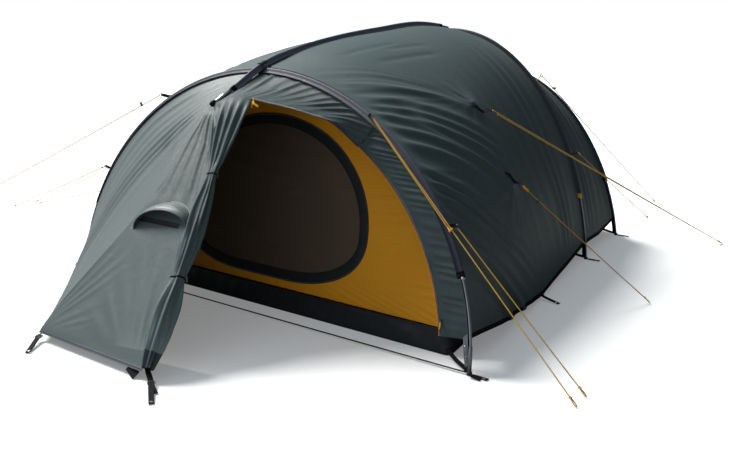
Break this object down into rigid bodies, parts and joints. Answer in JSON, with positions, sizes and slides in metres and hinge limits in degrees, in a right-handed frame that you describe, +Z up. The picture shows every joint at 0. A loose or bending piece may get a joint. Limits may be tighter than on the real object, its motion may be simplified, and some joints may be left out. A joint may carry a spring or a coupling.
{
  "type": "dome tent",
  "caption": "Low three-hoop tent with a ridge pole, outside pole sleeves, a leaning vestibule whose gathered door is tied back, a hung inner tent and taut guy lines.",
  "frame": {"origin": "on the ground, under the middle of the pitched tent's bounding box with its pegging straps and without its guy lines", "axes": "+Z up; +Y from the door end to the foot end; +X to the right as seen from the door end, which is the side the doorway opens on"},
  "size_m": [4.6435, 4.4478, 1.2592],
  "materials": {
    "fly": "coated ripstop polyester or nylon, dark green-grey",
    "sleeve": "woven pole sleeve cloth, purple-grey",
    "inner": "thin breathable cloth, yellow-orange",
    "mesh": "fine insect mesh, dark brown",
    "tub": "heavy coated groundsheet cloth, near black",
    "webbing": "flat woven webbing, black",
    "cord": "braided guy line, golden yellow",
    "pole": "anodised tube, silver-grey",
    "hardware": "moulded nylon, dark grey"
  },
  "bodies": {
    "tent": {"flysheet_body": "fly", "front_hoop_pole": "pole", "front_hoop_sleeve": "sleeve", "rear_hoop_pole": "pole", "rear_hoop_sleeve": "sleeve", "end_hoop_pole": "pole", "end_hoop_sleeve": "sleeve", "ridge_pole": "pole", "ridge_sleeve": "sleeve", "peak_pocket": "webbing", "front_right_pole_foot": "hardware", "front_right_foot_strap": "webbing", "rear_right_pole_foot": "hardware", "rear_right_foot_strap": "webbing", "end_right_pole_foot": "hardware", "end_right_foot_strap": "webbing", "mid_right_hem_strap": "webbing", "front_left_pole_foot": "hardware", "front_left_foot_strap": "webbing", "rear_left_pole_foot": "hardware", "rear_left_foot_strap": "webbing", "end_left_pole_foot": "hardware", "end_left_foot_strap": "webbing", "mid_left_hem_strap": "webbing", "rear_hem_strap": "webbing", "vestibule_left_strap": "webbing", "vestibule_right_strap": "webbing", "door_base_cord": "webbing", "doorway_edge_panel": "fly", "inner_front_wall": "inner", "inner_tent_body": "inner", "groundsheet_tub": "tub", "vestibule_front_panel": "fly", "vent_mesh": "mesh", "vestibule_side_panel": "fly", "rolled_door": "fly", "door_tie_upper": "webbing", "door_tie_lower": "webbing", "guy_front_right_upper": "cord", "guy_front_right_lower": "cord", "guy_mid_right_upper_a": "cord", "guy_mid_right_upper_b": "cord", "guy_mid_right_lower": "cord", "guy_rear_right_upper": "cord", "guy_rear_right_lower": "cord", "guy_front_left_upper": "cord", "guy_front_left_lower": "cord", "guy_mid_left_upper": "cord", "guy_mid_left_lower": "cord", "guy_front_right_return": "cord"},
    "inner_door": {"inner_door_band": "tub", "inner_door_mesh": "mesh"},
    "vent_hood": {"vent_hood": "fly"},
    "inner_zip_slider": {"inner_zip_slider": "hardware"},
    "fly_zip_slider": {"fly_zip_slider": "hardware"},
    "guy_slider_front_right_upper": {"guy_slider_front_right_upper": "hardware"},
    "guy_slider_mid_right_lower": {"guy_slider_mid_right_lower": "hardware"},
    "guy_slider_rear_right_upper": {"guy_slider_rear_right_upper": "hardware"},
    "guy_slider_front_left_upper": {"guy_slider_front_left_upper": "hardware"}
  },
  "joints": [
    {"name": "inner_door_swing", "type": "hinge", "parent": "tent", "child": "inner_door", "pos_m": [-0.582, -0.788, 0], "axis": [0, 0.1553, 0.9879], "range_deg": [0, 75]},
    {"name": "vent_hood_fold", "type": "hinge", "parent": "tent", "child": "vent_hood", "pos_m": [0.026, -1.31924, 0.53465], "axis": [1, 0, 0], "range_deg": [-15, 30]},
    {"name": "inner_zip_run", "type": "slide", "parent": "tent", "child": "inner_zip_slider", "axis": [1, 0, 0], "range_m": [-0.215, 0.025]},
    {"name": "fly_zip_run", "type": "slide", "parent": "tent", "child": "fly_zip_slider", "axis": [-0.2194, 0.1515, 0.9638], "range_m": [0, 0.12]},
    {"name": "guy_adjust_front_right_upper", "type": "slide", "parent": "tent", "child": "guy_slider_front_right_upper", "axis": [0.7338, -0.0889, -0.6735], "range_m": [-0.12, 0], "deforming": ["guy_front_right_return"]},
    {"name": "guy_adjust_mid_right_lower", "type": "slide", "parent": "tent", "child": "guy_slider_mid_right_lower", "axis": [0.5315, 0.5219, -0.6671], "range_m": [-0.03, 0.15]},
    {"name": "guy_adjust_rear_right_upper", "type": "slide", "parent": "tent", "child": "guy_slider_rear_right_upper", "axis": [-0.038, 0.8874, -0.4594], "range_m": [-0.03, 0.25]},
    {"name": "guy_adjust_front_left_upper", "type": "slide", "parent": "tent", "child": "guy_slider_front_left_upper", "axis": [-0.9309, -0.0153, -0.365], "range_m": [-0.03, 0.25]}
  ]
}
